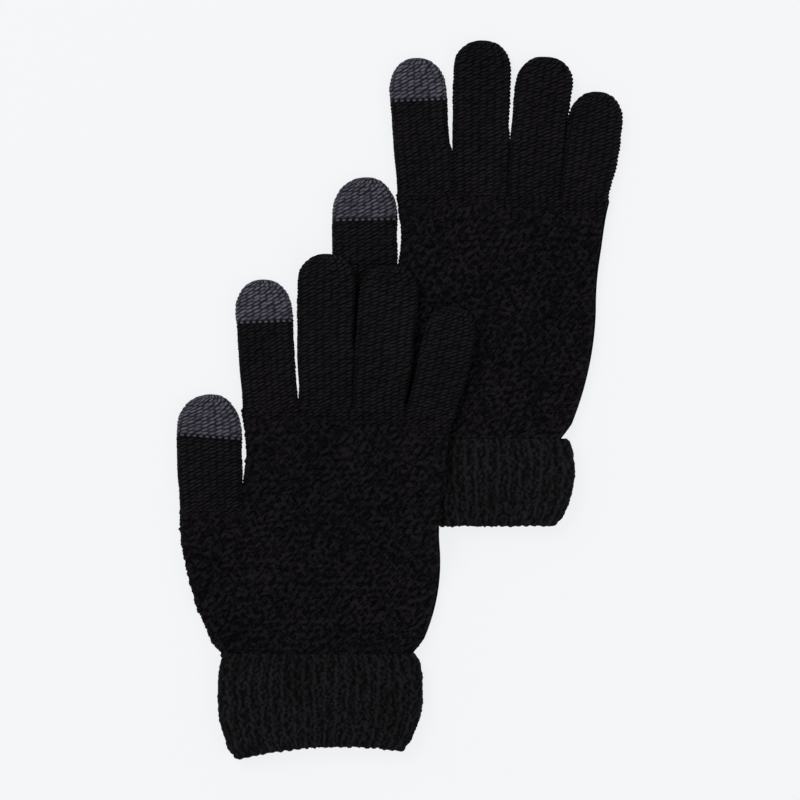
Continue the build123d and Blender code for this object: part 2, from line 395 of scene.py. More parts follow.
class Surface:
    """The middle height of a glove's cloth over the plan, read off its CAD solids and smoothed."""

    def __init__(self, nodes):
        points, faces = [], []
        for n in nodes:
            mesh = frame["nodes"][n].data
            start = len(points)
            points += [v.co.copy() for v in mesh.vertices]
            faces += [[start + i for i in p.vertices] for p in mesh.polygons]
        tree = BVHTree.FromPolygons(points, faces)
        co = np.array(points)
        self.low = co.min(0)[:2] - 6 * DRAPE_STEP
        size = np.ceil((co.max(0)[:2] + 6 * DRAPE_STEP - self.low) / DRAPE_STEP).astype(int) + 1
        height, known = np.zeros(size), np.zeros(size)
        for i in range(size[0]):
            for j in range(size[1]):
                x, y = self.low + np.array([i, j]) * DRAPE_STEP
                top = tree.ray_cast(Vector((x, y, 1)), Vector((0, 0, -1)))[0]
                bottom = tree.ray_cast(Vector((x, y, -1)), Vector((0, 0, 1)))[0]
                if top and bottom:
                    height[i, j], known[i, j] = (top.z + bottom.z) / 2, 1
        self.grid = self.blur(height, known, DRAPE_BLUR)

    @staticmethod
    def blur(height, known, width):
        """Smooths the known heights, and carries them out past the edges by ever wider smoothing."""
        out, settled = np.zeros_like(height), np.zeros(height.shape, bool)
        for spread in (1, 2, 4, 8, 20):
            radius = int(np.ceil(3 * width * spread / DRAPE_STEP))
            k = np.exp(-0.5 * (np.arange(-radius, radius + 1) * DRAPE_STEP / (width * spread)) ** 2)
            parts = []
            for a in (height * known, known):
                a = np.apply_along_axis(lambda r: np.convolve(np.pad(r, radius), k, "valid"), 0, a)
                parts.append(np.apply_along_axis(lambda r: np.convolve(np.pad(r, radius), k, "valid"), 1, a))
            fresh = ~settled & (parts[1] > 1e-4 * k.sum() ** 2)
            out[fresh] = parts[0][fresh] / parts[1][fresh]
            settled |= fresh
        return out

    def at(self, xy):
        g = (xy - self.low) / DRAPE_STEP
        g = np.clip(g, 0, np.array(self.grid.shape) - 1.001)
        i, j = np.floor(g[..., 0]).astype(int), np.floor(g[..., 1]).astype(int)
        u, v = g[..., 0] - i, g[..., 1] - j
        z = self.grid
        low = z[i, j] * (1 - u) + z[i + 1, j] * u
        high = z[i, j + 1] * (1 - u) + z[i + 1, j + 1] * u
        return low * (1 - v) + high * v


class Glove:
    """One glove's stalls, edges and height, worked out from the frame."""

    def __init__(self, name):
        self.name = name
        self.body = f"{name}_glove"
        self.hand = f"{name}_hand"
        self.stalls = [Stall(name, f) for f in ("thumb", "index", "middle", "ring", "little")]
        self.thumb, self.fingers = self.stalls[0], self.stalls[1:]
        for a, b in zip(self.fingers, self.fingers[1:]):
            a.beside[1], b.beside[-1] = b, a
        self.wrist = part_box(self.hand)[0].y
        self.drape = Surface([self.hand] + [n for s in self.stalls for n in s.nodes])
        self.read_sides()
        self.place_corners()

    def read_sides(self):
        """The hand's left and right edges, read off the CAD hand row by row."""
        low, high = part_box(self.hand)
        rows, left, right = [], [], []
        for y in np.arange(low.y + 0.4 * MM, high.y - 0.4 * MM, 1.5 * MM):
            x = plane_cut(self.hand, 1, y)[:, 0]
            rows.append(y)
            left.append(x.min())
            right.append(x.max())
        self.rows, self.left, self.right = np.array(rows), np.array(left), np.array(right)

    def corner(self, stall, side):
        """A root corner of a stall: side -1 is its left and 1 its right."""
        return stall.root + side * stall.across * (stall.half + SIDE_GAP)

    def place_corners(self):
        f = self.fingers
        inner = [(self.corner(a, 1) + self.corner(b, -1)) / 2 for a, b in zip(f, f[1:])]
        self.root_line = np.array([self.corner(f[0], -1), *inner, self.corner(f[-1], 1)])
        self.thumb_line = np.array([self.corner(self.thumb, -1), self.corner(self.thumb, 1)])
        overlap = self.thumb_line[1] - WEB_OVERLAP * self.thumb.across
        start, web = overlap + WEB_START * self.thumb.along, overlap + WEB_RISE * self.thumb.along
        t = np.linspace(0, 1, 7)[:, None]
        above = web + (self.root_line[0] - web) * t + [WEB_HOLLOW, 0] * np.sin(np.pi * t)
        self.web_line = np.concatenate([self.thumb_line[1:], [start], above])
        self.crotches = np.array(inner)
        self.draw_edges()

    def pinch(self, y):
        """How far the cuff draws the hand's sides in."""
        return PINCH * smooth((self.wrist + PINCH_LENGTH - y) / (PINCH_LENGTH + HAND_TUCK))

    def right_edge(self, y):
        below = self.rows < self.root_line[-1, 1] - 0.5 * MM
        rows = np.append(self.rows[below], self.root_line[-1, 1])
        gather = GATHER * smooth(1 - (self.root_line[-1, 1] - y) / GATHER_LENGTH)
        edge = np.interp(y, rows, np.append(self.right[below], self.root_line[-1, 0]))
        return edge - PROUD - gather - self.pinch(y)

    def left_edge(self, y):
        """The outer edge below the thumb's root."""
        below = self.rows < self.thumb_line[:, 1].min() - 0.5 * MM
        rows = np.append(self.rows[below], self.thumb_line[0, 1])
        edge = np.interp(y, rows, np.append(self.left[below], self.thumb_line[0, 0]))
        return edge + PROUD + self.pinch(y)

    def split(self, y):
        """Where the palm starts at the left: the web beside the thumb, and straight down from it."""
        return np.interp(y, self.web_line[:, 1], self.web_line[:, 0])

    def draw_edges(self):
        """The hand's free edges as lines: the right side, the left side below the thumb, and the web."""
        self.edges = [self.web_line]
        for edge, root in ((self.right_edge, self.root_line[-1]), (self.left_edge, self.thumb_line[0])):
            rows = self.rows[self.rows < root[1] - 0.5 * MM]
            y = np.concatenate([[self.wrist - 10 * MM], rows, [root[1]]])
            self.edges.append(np.stack([edge(y), y], -1))

    def depth(self, xy):
        """How far points of the hand are from its free edges and from the crotches between the fingers."""
        near = np.full(xy.shape[:-1], np.inf)
        for line in self.edges:
            for a, b in zip(line[:-1], line[1:]):
                t = np.clip(((xy - a) @ (b - a)) / ((b - a) @ (b - a)), 0, 1)
                off = xy - a - t[..., None] * (b - a)
                near = np.minimum(near, off[..., 0] ** 2 + off[..., 1] ** 2)
        for p in self.crotches:
            near = np.minimum(near, ((xy - p) ** 2).sum(-1))
        return np.sqrt(near)


# ---------------- mesh making


class Cloth:
    """Grids of points gathered into one mesh, each with its own part of the texture space."""

    def __init__(self):
        self.points, self.relief, self.weave = [], [], []
        self.faces, self.spots = [], []
        self.count = 0

    def add(self, grid, relief, weave, area, closed=False, flip=False):
        """Adds a grid of rows by columns, and returns the index of its first point. Its relief is a level of
        painted shading for each point, not a height.
        """
        rows, columns = grid.shape[:2]
        first = self.count
        self.points.append(grid.reshape(-1, 3))
        self.relief.append(np.broadcast_to(relief, (rows, columns)).ravel())
        self.weave.append(np.broadcast_to(weave, (rows, columns, 2)).reshape(-1, 2))
        self.count += rows * columns
        i = np.arange(rows - 1)[:, None]
        j = np.arange(columns if closed else columns - 1)[None]
        steps = ((0, 0), (0, 1), (1, 1), (1, 0))
        corners = [(i + a) * columns + (j + b) % columns for a, b in steps]
        left, low, right, high = area
        spots = []
        for a, b in steps:
            u = left + (right - left) * (j + b) / (columns if closed else columns - 1) + 0 * i
            v = low + (high - low) * (i + a) / (rows - 1) + 0 * j
            spots.append(np.stack([u, v], -1))
        self.keep(first + np.stack(corners, -1).reshape(-1, 4), np.stack(spots, -2).reshape(-1, 4, 2), flip)
        return first

    def keep(self, faces, spots, flip):
        self.faces.append(faces[:, ::-1] if flip else faces)
        self.spots.append(spots[:, ::-1] if flip else spots)

    def rim(self, outer, inner, columns, closed, flip):
        """Joins a row of points to another of as many, such as the edge of a cloth's two faces."""
        j = np.arange(columns if closed else columns - 1)
        k = (j + 1) % columns
        faces = np.stack([outer + j, inner + j, inner + k, outer + k], -1)
        self.keep(faces, np.zeros((len(faces), 4, 2)), flip)

    def cap(self, first, columns, flip):
        """Closes a flat ring, from its top half to its bottom half. The two end faces are triangles."""
        j = np.arange(columns // 2)
        faces = np.stack([j, j + 1, (columns - j - 1) % columns, (columns - j) % columns], -1)
        self.keep(first + faces, np.zeros((len(faces), 4, 2)), flip)

    def build(self, name):
        faces, spots = np.concatenate(self.faces), np.concatenate(self.spots)
        points = np.concatenate(self.points)
        faces, keep = self.weld(points, faces)
        corners = [frozenset(face) for face in faces.tolist()]
        times = Counter(corners)
        lists, uv = [], []
        for face, spot, key in zip(faces.tolist(), spots.tolist(), corners):
            kept = [k for k in range(4) if face[k] != face[k - 1]]
            if 2 < len(kept) == len(key) and times[key] == 1:
                lists.append([face[k] for k in kept])
                uv += [spot[k] for k in kept]
        mesh = bpy.data.meshes.new(name)
        mesh.from_pydata(points[keep], [], lists)
        mesh.polygons.foreach_set("use_smooth", np.ones(len(lists), bool))
        layer = mesh.uv_layers.new(name="OFBake")
        layer.data.foreach_set("uv", np.asarray(uv, np.float32).ravel())
        # The relief attribute holds the painted shading that the material's colour ramp turns into dark furrows
        # and light crests
        relief = mesh.attributes.new("relief", "FLOAT", "POINT")
        relief.data.foreach_set("value", np.concatenate(self.relief)[keep].astype(np.float32))
        weave = mesh.attributes.new("weave", "FLOAT_VECTOR", "POINT")
        flat = np.concatenate(self.weave)[keep]
        flat = np.concatenate([flat, np.zeros((len(flat), 1))], 1)
        weave.data.foreach_set("vector", flat.astype(np.float32).ravel())
        mesh.update()
        piece = bpy.data.objects.new(name, mesh)
        bpy.context.scene.collection.objects.link(piece)
        return piece

    @staticmethod
    def weld(points, faces):
        """Makes points in the same place one. Returns the faces' new indices and the points kept."""
        cells = np.round(points / WELD).astype(np.int64)
        _, keep, back = np.unique(cells, axis=0, return_index=True, return_inverse=True)
        return back.ravel()[faces], keep


def grid_normals(p):
    """Unit normals of a grid of rings, rows by columns by 3."""
    along = np.gradient(p, axis=0)
    across = (np.roll(p, -1, axis=1) - np.roll(p, 1, axis=1)) / 2
    n = np.cross(across, along)
    return n / np.maximum(np.linalg.norm(n, axis=-1, keepdims=True), 1e-12)


def pill(half_width, half_thick, columns):
    """Points round a flat section with half-round sides, evenly spaced, from its left edge over its top."""
    r = np.minimum(half_width, half_thick)[:, None]
    a, b = half_width[:, None], half_thick[:, None]
    flat = 2 * (a - r)
    turn = np.pi * r / 2
    face = flat + 2 * turn
    u = np.arange(columns)[None] / columns * 2
    c = (u % 1) * face
    at_start, at_end = c < turn, c > turn + flat
    x = np.where(at_start, -a + r * (1 - np.cos(c / r)), -a + r + c - turn)
    x = np.where(at_end, a - r * (1 - np.cos((face - c) / r)), x)
    z = np.where(at_start, np.sin(c / r), np.where(at_end, np.sin((face - c) / r), 1.0)) * b
    return np.where(u < 1, x, -x), np.where(u < 1, z, -z)


def skin_rows(first, last, step=SKIN_STEP):
    """The rows that the plain inside of the cloth keeps."""
    return sorted({*range(first, last, step), last - 1})


# ---------------- materials


SLOT_OF = {s["node"]: s["material_slot"] for s in frame["record"]["subparts"]}


class Shader:
    """A short way to write a node material."""

    def __init__(self, name):
        self.material = bpy.data.materials.new(name)
        self.material.use_nodes = True
        self.tree = self.material.node_tree
        self.surface = self.tree.nodes["Principled BSDF"]

    def node(self, kind, **settings):
        n = self.tree.nodes.new(kind)
        for key, value in settings.items():
            setattr(n, key, value)
        return n

    def link(self, a, b):
        self.tree.links.new(a, b)

    def noise(self, vector, scale, detail=3.0, rough=0.6):
        n = self.node("ShaderNodeTexNoise")
        n.inputs["Scale"].default_value = scale
        n.inputs["Detail"].default_value = detail
        n.inputs["Roughness"].default_value = rough
        self.link(vector, n.inputs["Vector"])
        return n.outputs["Fac"]

    def remap(self, value, low, high, new_low, new_high):
        n = self.node("ShaderNodeMapRange")
        self.link(value, n.inputs["Value"])
        sockets = ("From Min", "From Max", "To Min", "To Max")
        for socket, number in zip(sockets, (low, high, new_low, new_high)):
            n.inputs[socket].default_value = number
        return n.outputs["Result"]

    def math(self, kind, a, b):
        n = self.node("ShaderNodeMath", operation=kind)
        self.link(a, n.inputs[0])
        self.link(b, n.inputs[1])
        return n.outputs[0]

    def ramp(self, value, stops):
        n = self.node("ShaderNodeValToRGB")
        for element, (position, colour) in zip(n.color_ramp.elements, (stops[0], stops[-1])):
            element.position, element.color = position, (*colour, 1)
        for position, colour in stops[1:-1]:
            n.color_ramp.elements.new(position).color = (*colour, 1)
        self.link(value, n.inputs["Fac"])
        return n.outputs["Color"]

    def scale(self, colour, value):
        """A colour multiplied by a number."""
        n = self.node("ShaderNodeVectorMath", operation="SCALE")
        self.link(colour, n.inputs[0])
        self.link(value, n.inputs["Scale"])
        return n.outputs[0]


def knit_material(name, shaded_furrow, middle, lit_crest, sheen, specular, fuzz):
    """Fuzzy yarn with fibres along the stitches. Painted shade darkens its furrows and a painted highlight
    lightens its crests.
    """
    s = Shader(name)
    # The relief attribute is painted shading: it picks the colour from the shaded furrows to the lit crests
    relief = s.node("ShaderNodeAttribute", attribute_name="relief").outputs["Fac"]
    weave = s.node("ShaderNodeAttribute", attribute_name="weave").outputs["Vector"]
    place = s.node("ShaderNodeTexCoord").outputs["Object"]
    turn = s.node("ShaderNodeMapping")
    turn.inputs["Rotation"].default_value = (0, 0, math.radians(-FINE_SLANT))
    turn.inputs["Scale"].default_value = (0.3, 1.0, 1.0)
    s.link(weave, turn.inputs["Vector"])
    fibre = s.noise(turn.outputs["Vector"], 4200.0, 2.0, 0.7)
    yarn = s.noise(place, 1500.0, 2.0, 0.6)
    mottle = s.noise(place, 42.0, 2.0, 0.5)
    level = s.math("ADD", relief, s.remap(yarn, 0.3, 0.7, -fuzz, fuzz))
    # Painted shade in the furrows and a painted highlight on the crests, shifted by the yarn's own uneven tone
    colour = s.ramp(level, ((0.05, shaded_furrow), (0.5, middle), (1.0, lit_crest)))
    tone = s.math("MULTIPLY", s.remap(fibre, 0.3, 0.7, 0.7, 1.3), s.remap(mottle, 0.3, 0.7, 0.84, 1.16))
    s.link(s.scale(colour, tone), s.surface.inputs["Base Color"])
    s.link(s.remap(fibre, 0.2, 0.8, 0.82, 1.0), s.surface.inputs["Roughness"])
    bump = s.node("ShaderNodeBump")
    bump.inputs["Strength"].default_value = 0.6
    bump.inputs["Distance"].default_value = 0.14 * MM
    s.link(s.math("ADD", fibre, s.noise(place, 2600.0, 3.0, 0.7)), bump.inputs["Height"])
    s.link(bump.outputs["Normal"], s.surface.inputs["Normal"])
    s.surface.inputs["Sheen Weight"].default_value = sheen
    s.surface.inputs["Sheen Roughness"].default_value = 0.45
    s.surface.inputs["Specular IOR Level"].default_value = specular
    return s.material


# Each knit's colours, darkest to lightest: painted shade for the furrows, the middle, and a painted highlight for
# the crests
def fine_black():
    shaded_furrow, middle, lit_crest = (0.0022, 0.0019, 0.0023), (0.0074, 0.0063, 0.0077), (0.0165, 0.0145, 0.0175)
    return knit_material("fine_black_knit", shaded_furrow, middle, lit_crest, 0.012, 0.06, 0.42)


def textured_black():
    shaded_furrow, middle, lit_crest = (0.0017, 0.0014, 0.0018), (0.0064, 0.0054, 0.0067), (0.0155, 0.0135, 0.0163)
    return knit_material("textured_black_knit", shaded_furrow, middle, lit_crest, 0.010, 0.05, 0.46)


def rib_black():
    shaded_furrow, middle, lit_crest = (0.0020, 0.0020, 0.0023), (0.0070, 0.0069, 0.0079), (0.0165, 0.0163, 0.0185)
    return knit_material("rib_black_knit", shaded_furrow, middle, lit_crest, 0.012, 0.06, 0.36)


def conductive_grey():
    shaded_furrow, middle, lit_crest = (0.0130, 0.0122, 0.0170), (0.0560, 0.0535, 0.0730), (0.1330, 0.1290, 0.1660)
    return knit_material("conductive_grey_knit", shaded_furrow, middle, lit_crest, 0.02, 0.16, 0.14)


def join_yarn():
    shaded_furrow, middle, lit_crest = (0.0030, 0.0028, 0.0036), (0.0200, 0.0190, 0.0250), (0.1250, 0.1200, 0.1500)
    return knit_material("join_yarn", shaded_furrow, middle, lit_crest, 0.015, 0.12, 0.12)


def elastic_rubber():
    shaded_furrow, middle, lit_crest = (0.0060, 0.0060, 0.0060), (0.0120, 0.0120, 0.0120), (0.0200, 0.0200, 0.0200)
    return knit_material("elastic_thread", shaded_furrow, middle, lit_crest, 0.0, 0.3, 0.1)


MATERIALS = {
    "black_fine_knit": fine_black(),
    "black_textured_knit": textured_black(),
    "black_rib_knit": rib_black(),
    "grey_conductive_knit": conductive_grey(),
    "tip_join": join_yarn(),
    "elastic_thread": elastic_rubber(),
}


def finish_piece(piece, node):
    """Gives a piece its material, and hides the CAD node it replaces."""
    slot = SLOT_OF[node]
    piece.data.materials.append(MATERIALS[slot])
    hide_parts(node)


# ---------------- finger stalls


def stall_rows(stall):
    """Distances along a stall, evenly spaced over its side and end, and the rows where its pieces part."""
    y = stall.length - (stall.length + STALL_TUCK) * (1 - np.linspace(0, 1, 4000)) ** 2
    half = stall.half_width(y)
    run = np.concatenate([[0], np.cumsum(np.hypot(np.diff(y), np.diff(half)))])
    rows = np.interp(np.linspace(0, run[-1], int(run[-1] / ROW_CELL)), run, y)
    if not stall.join:
        return rows, None
    local = stall.to_local(cad_points(stall.join)[:, :2])
    centre = local - local.mean(0)
    stall.tilt = (centre[:, 0] * centre[:, 1]).sum() / (centre[:, 0] ** 2).sum()
    course = local[:, 1] - stall.tilt * local[:, 0]
    cuts = [np.abs(rows - course.min()).argmin(), np.abs(rows - course.max()).argmin() + 1]
    rows[cuts[0]], rows[cuts[1]] = course.min(), course.max()
    return rows, cuts


def stall_surface(glove, stall, rows, cuts, inset, columns):
    """Rings of points round a stall, inset from its outer face, and how far each is above its middle."""
    past = np.clip((rows - (stall.length - TIP_ROUND)) / TIP_ROUND, 0, 1)
    thick = GLOVE_THICK / 2 * np.sqrt(np.clip(1 - past**2, 0, 1))
    half = np.maximum(stall.half_width(rows) - inset, WELD)
    x, z = pill(half, np.maximum(thick - inset, WELD), columns)
    y = np.repeat(rows[:, None], columns, 1)
    if cuts:
        near = smooth(y / rows[cuts[0]]) * smooth((stall.length - y) / (stall.length - rows[cuts[1]]))
        y = y + stall.tilt * x * near
    xy = stall.root + (x + stall.bow(y))[..., None] * stall.across + y[..., None] * stall.along
    return np.concatenate([xy, (z + glove.drape.at(xy))[..., None]], -1), z


def stall_stitches(stall, rows, cuts, columns):
    """The relief and painted shading of each point of a stall, and where it is in the weave. The painted shading
    is light on the stitches' crests and dark in their furrows.
    """
    around = 2 * (2 * stall.half + (np.pi - 2) * EDGE_ROUND)
    turn = np.arange(columns)[None] / columns + 0 * rows[:, None]
    c = turn * round(around / FINE_WALE) * FINE_WALE
    v = rows[:, None] + 0 * c
    relief = fine_knit(c, v)
    # Painted shading that follows the relief: light on crests, dark in furrows
    painted_shading = relief / FINE_RELIEF
    slow = wobble(c, v)
    if cuts:
        middle = (rows[cuts[0]] + rows[cuts[1]]) / 2
        dashes, mask = join_course(turn * round(around / DASH) * DASH, v, middle)
        away = smooth((np.abs(v - middle) - DASH_FURROW) / DASH_FADE)
        relief = relief * away + dashes
        in_join = (v >= rows[cuts[0]] - WELD) & (v <= rows[cuts[1]] + WELD)
        # In the join the dash mask sets the dashes' own lighter yarn and painted shade in the gaps between them;
        # beside the join, painted shade darkens the furrows
        painted_shading = np.where(in_join, mask, painted_shading * (0.15 + 0.85 * away))
    return relief + slow, painted_shading, np.stack([c, v], -1)


def build_stall(glove, stall):
    rows, cuts = stall_rows(stall)
    columns = 2 * round((2 * stall.half + (np.pi - 2) * EDGE_ROUND) / CELL)
    base, z = stall_surface(glove, stall, rows, cuts, 0.0, columns)
    relief, painted_shading, weave = stall_stitches(stall, rows, cuts, columns)
    ending = np.clip((rows - stall.length + TIP_FADE) / TIP_FADE, 0, 1)[:, None]
    shrink = np.where(z < 0, UNDERSIDE, 1.0) * (1 - 0.8 * ending**3)
    outer = base + grid_normals(base) * (relief * shrink)[..., None]
    inner, _ = stall_surface(glove, stall, rows, cuts, WALL, columns)

    spans = [(stall.tube, 0, len(rows))]
    if cuts:
        start, end = cuts
        spans = [(stall.tube, 0, start + 1), (stall.join, start, end + 1), (stall.tip, end, len(rows))]
    for node, first, last in spans:
        cloth = Cloth()
        picked = skin_rows(first, last)
        face = outer[first:last], painted_shading[first:last], weave[first:last]
        out = cloth.add(*face, (0, 0, 1, 0.94), closed=True)
        skin = cloth.add(inner[picked], 0.4, weave[picked], (0, 0.95, 1, 1), closed=True, flip=True)
        cloth.rim(out, skin, columns, True, False)
        end_out, end_skin = out + (last - first - 1) * columns, skin + (len(picked) - 1) * columns
        if last == len(rows):
            cloth.cap(end_out, columns, False)
            cloth.cap(end_skin, columns, True)
        else:
            cloth.rim(end_out, end_skin, columns, True, True)
        piece = cloth.build(f"{node}_knit")
        finish_piece(piece, node)
        attach(piece, glove, stall, bends=node == stall.tube)


def attach(piece, glove, stall, bends):
    """A stall's tube stays where it is, on no body, when its finger has a joint; otherwise it goes with the
    stall's body. Its tip goes with the finger.
    """
    if bends and stall.body != glove.body:
        for distance in (BEND_START, BEND_END):
            float(glove.drape.at(stall.root))
        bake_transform(piece)
    else:
        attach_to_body(piece, stall.body)


# ---------------- hands


def columns_of(width, count, free_left, free_right):
    """Places from 0 to 1 across a face for each column, closer together over its free rounded sides."""
    r, arc = EDGE_ROUND, np.pi * EDGE_ROUND / 2
    total = width + (free_left + free_right) * (arc - r)
    k = np.linspace(0, 1, count)

    def rounded(c):
        return np.where(c < arc, r * (1 - np.cos(np.minimum(c, arc) / r)), c - arc + r)

    from_left, from_right = k * total, (1 - k) * total
    from_left = rounded(from_left) if free_left else from_left
    from_right = rounded(from_right) if free_right else from_right
    return np.where(k < 0.5, from_left, width - from_right) / width


def hand_plans(glove):
    """The plan points of the hand's two parts, the palm and the base of the thumb, with a shared side."""
    y_low = glove.wrist - HAND_TUCK
    thumb, roots = glove.thumb_line, glove.root_line
    part = (thumb[1, 1] - y_low) / (roots[0, 1] - y_low)
    low_rows = int((thumb[1, 1] - y_low) / HAND_CELL)
    high_rows = int((roots[0, 1] - thumb[1, 1]) / HAND_CELL)
    t = np.concatenate([np.linspace(0, part, low_rows), np.linspace(part, 1, high_rows + 1)[1:]])

    y_left = y_low + (roots[0, 1] - y_low) * t
    y_right = y_low + (roots[-1, 1] - y_low) * t
    left, right = glove.split(y_left), glove.right_edge(y_right)
    count = int((right - left).max() / HAND_CELL) + 6
    free = smooth((y_left - thumb[1, 1]) / (2 * EDGE_ROUND))
    palm = []
    for k, row in enumerate(t):
        width = right[k] - left[k]
        share = (1 - free[k]) * columns_of(width, count, 0, 1) + free[k] * columns_of(width, count, 1, 1)
        top = np.interp(roots[0, 0] + (right[-1] - roots[0, 0]) * share, roots[:, 0], roots[:, 1])
        palm.append(np.stack([left[k] + width * share, y_low + (top - y_low) * row], -1))

    y_out = y_low + (thumb[0, 1] - y_low) * t[:low_rows] / part
    outer_edge, inner_edge = glove.left_edge(y_out), left[:low_rows]
    count = int((inner_edge - outer_edge).max() / HAND_CELL) + 3
    base = []
    for k in range(low_rows):
        width = inner_edge[k] - outer_edge[k]
        share = columns_of(width, count, 1, 0)
        rise = (y_left[k] - y_out[k]) * share
        base.append(np.stack([outer_edge[k] + width * share, y_out[k] + rise], -1))
    return np.array(palm), np.array(base)


def hand_stitches(glove, xy, depth):
    """The hand's stitches: fine next to the fingers and thumb, and textured over the rest. Gives the relief, the
    painted shading (light on crests, dark in furrows) and each point's place in the weave.
    """
    x, y = xy[..., 0], xy[..., 1]
    root = np.interp(x, glove.root_line[:, 0], glove.root_line[:, 1])
    ragged = RAGGED * (value_noise(x / RAGGED_LENGTH, y / RAGGED_LENGTH, 24) - 0.5)
    below_fingers = smooth((root - y - COARSE_START[0] + ragged) / COARSE_FADE[0])
    beside_thumb = smooth((glove.split(y) + COARSE_START[1] - x + ragged) / COARSE_FADE[1])
    below_thumb = smooth((glove.thumb_line[1, 1] - y + COARSE_START[2] + ragged) / COARSE_FADE[2])
    coarse = below_fingers * (1 - beside_thumb * (1 - below_thumb))
    r = EDGE_ROUND
    level = np.clip(1 - depth / r, 0, 1)
    past = r * np.arcsin(level) - r * level
    c = x + np.where(x < glove.split(y) + 20 * MM, -1, 1) * past
    fine, waffle = fine_knit(c, y), textured_knit(c, y)
    # Painted shading that follows the relief: light on crests, dark in furrows
    painted_shading = (1 - coarse) * fine / FINE_RELIEF + coarse * waffle / (CRINKLE_RELIEF + CRINKLE_GRAIN)
    return fine * (1 - coarse) + waffle * coarse + wobble(c, y), painted_shading, np.stack([c, y], -1)


def hand_face(glove, xy, side, inset):
    """One face of the hand over plan points, drawn inset from its outer face."""
    depth = np.maximum(glove.depth(xy), 0)
    r = EDGE_ROUND
    level = np.clip(1 - depth / r, 0, 1)
    rise = np.sqrt(1 - level**2)
    step = 0.2 * MM
    g = np.stack([glove.depth(xy + [step, 0]) - depth, glove.depth(xy + [0, step]) - depth], -1)
    g = g / np.maximum(np.linalg.norm(g, axis=-1, keepdims=True), 1e-9)
    normal = np.concatenate([-g * level[..., None], (side * rise)[..., None]], -1)
    base = np.concatenate([xy, (glove.drape.at(xy) + side * r * rise)[..., None]], -1)
    if inset:
        return base - normal * inset, 0.4, np.stack([xy[..., 0], xy[..., 1]], -1)
    relief, painted_shading, weave = hand_stitches(glove, xy, depth)
    shrink = 1 - (1 - UNDERSIDE) * (side < 0) * smooth(rise)
    return base + normal * (relief * shrink)[..., None], painted_shading, weave


def build_hand(glove):
    palm, base = hand_plans(glove)
    wide = palm.shape[1] / (palm.shape[1] + base.shape[1])
    cloth = Cloth()
    for side, low in ((1, 0.0), (-1, 0.5)):
        areas = ((palm, (0, low, wide - 0.01, low + 0.44)), (base, (wide, low, 1, low + 0.30)))
        for plan, area in areas:
            rows, columns = plan.shape[:2]
            out = cloth.add(*hand_face(glove, plan, side, 0.0), area, flip=side < 0)
            picked = skin_rows(0, rows)
            strip = (area[0], low + 0.455, area[2], low + 0.49)
            skin = cloth.add(*hand_face(glove, plan[picked], side, WALL), strip, flip=side > 0)
            cloth.rim(out, skin, columns, False, side < 0)
            ends = out + (rows - 1) * columns, skin + (len(picked) - 1) * columns
            cloth.rim(*ends, columns, False, side > 0)
    piece = cloth.build(f"{glove.hand}_knit")
    finish_piece(piece, glove.hand)
    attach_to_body(piece, glove.body)


# ---------------- cuffs


class Cuff:
    """A cuff's place, read off its CAD solids, and its section at any distance below the wrist."""

    def __init__(self, glove):
        self.glove = glove
        self.outer, self.inner = f"{glove.name}_cuff_outer", f"{glove.name}_cuff_inner"
        self.elastic = f"{glove.name}_cuff_elastic"
        low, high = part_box(self.outer)
        self.length = high.y - low.y
        self.centre = (low.x + high.x) / 2
        self.wrist, self.level = high.y, (low.z + high.z) / 2
        v, half = [], []
        for y in np.arange(high.y - 0.3 * MM, low.y + 0.3 * MM, -0.7 * MM):
            x = plane_cut(self.outer, 1, y)[:, 0]
            v.append(high.y - y)
            half.append((x.max() - x.min()) / 2)
        self.v, self.half = np.array(v), np.array(half)

    def half_width(self, v):
        lip = CUFF_LIP_IN * (1 - smooth(v / CUFF_LIP))
        hem = CUFF_HEM_IN * np.clip((v - self.length + CUFF_HEM) / CUFF_HEM, 0, 1) ** 2
        return np.interp(v, self.v, self.half) - lip - hem - PROUD

    def half_thick(self, v):
        start = smooth(v / CUFF_LIP)
        swell = CUFF_SWELL * np.sin(np.pi * np.clip(v / self.length, 0, 1))
        return CUFF_LIP_THICK + (CUFF_HALF_THICK - CUFF_SWELL - CUFF_LIP_THICK) * start + swell

    def hang(self, x, v):
        """How much further down a point is than its place on a straight-edged cuff."""
        left, middle, right = (h * MM for h in CUFF_HANG[self.glove.name])
        s = x / (0.8 * self.half.mean())
        drop = middle + (right - left) / 2 * s + ((left + right) / 2 - middle) * np.clip(s, -1, 1) ** 2
        return drop * smooth(v / self.length) ** 1.5

    def rings(self, v, half, thick, columns):
        x, z = pill(half, thick, columns)
        y = self.wrist - v[:, None] - self.hang(x, v[:, None])
        return np.stack([self.centre + x, y, self.level + z], -1), z


def cuff_profile(cuff):
    """The cuff's outer layer from its lip, along its outside, round the fold and into the mouth.

    Gives each ring's distance below the wrist, half width, half thickness and distance along the cloth.
    """
    steps = int((cuff.length - CUFF_FOLD) / CELL)
    v = np.linspace(0, cuff.length - CUFF_FOLD, steps)
    half, thick = cuff.half_width(v), cuff.half_thick(v)
    turn = np.linspace(0, np.pi, int(np.pi * CUFF_FOLD / CELL) + 2)[1:]
    fold_in = CUFF_FOLD * (1 - np.cos(turn))
    back = np.linspace(0, CUFF_RETURN, 5)[1:]
    v = np.concatenate([v, v[-1] + CUFF_FOLD * np.sin(turn), v[-1] - back])
    half = np.concatenate([half, half[-1] - fold_in, np.full(len(back), half[-1] - 2 * CUFF_FOLD)])
    thick = np.concatenate([thick, thick[-1] - fold_in, np.full(len(back), thick[-1] - 2 * CUFF_FOLD)])
    run = np.concatenate([[0], np.cumsum(np.hypot(np.diff(v), np.diff(thick)))])
    return v, half, thick, run


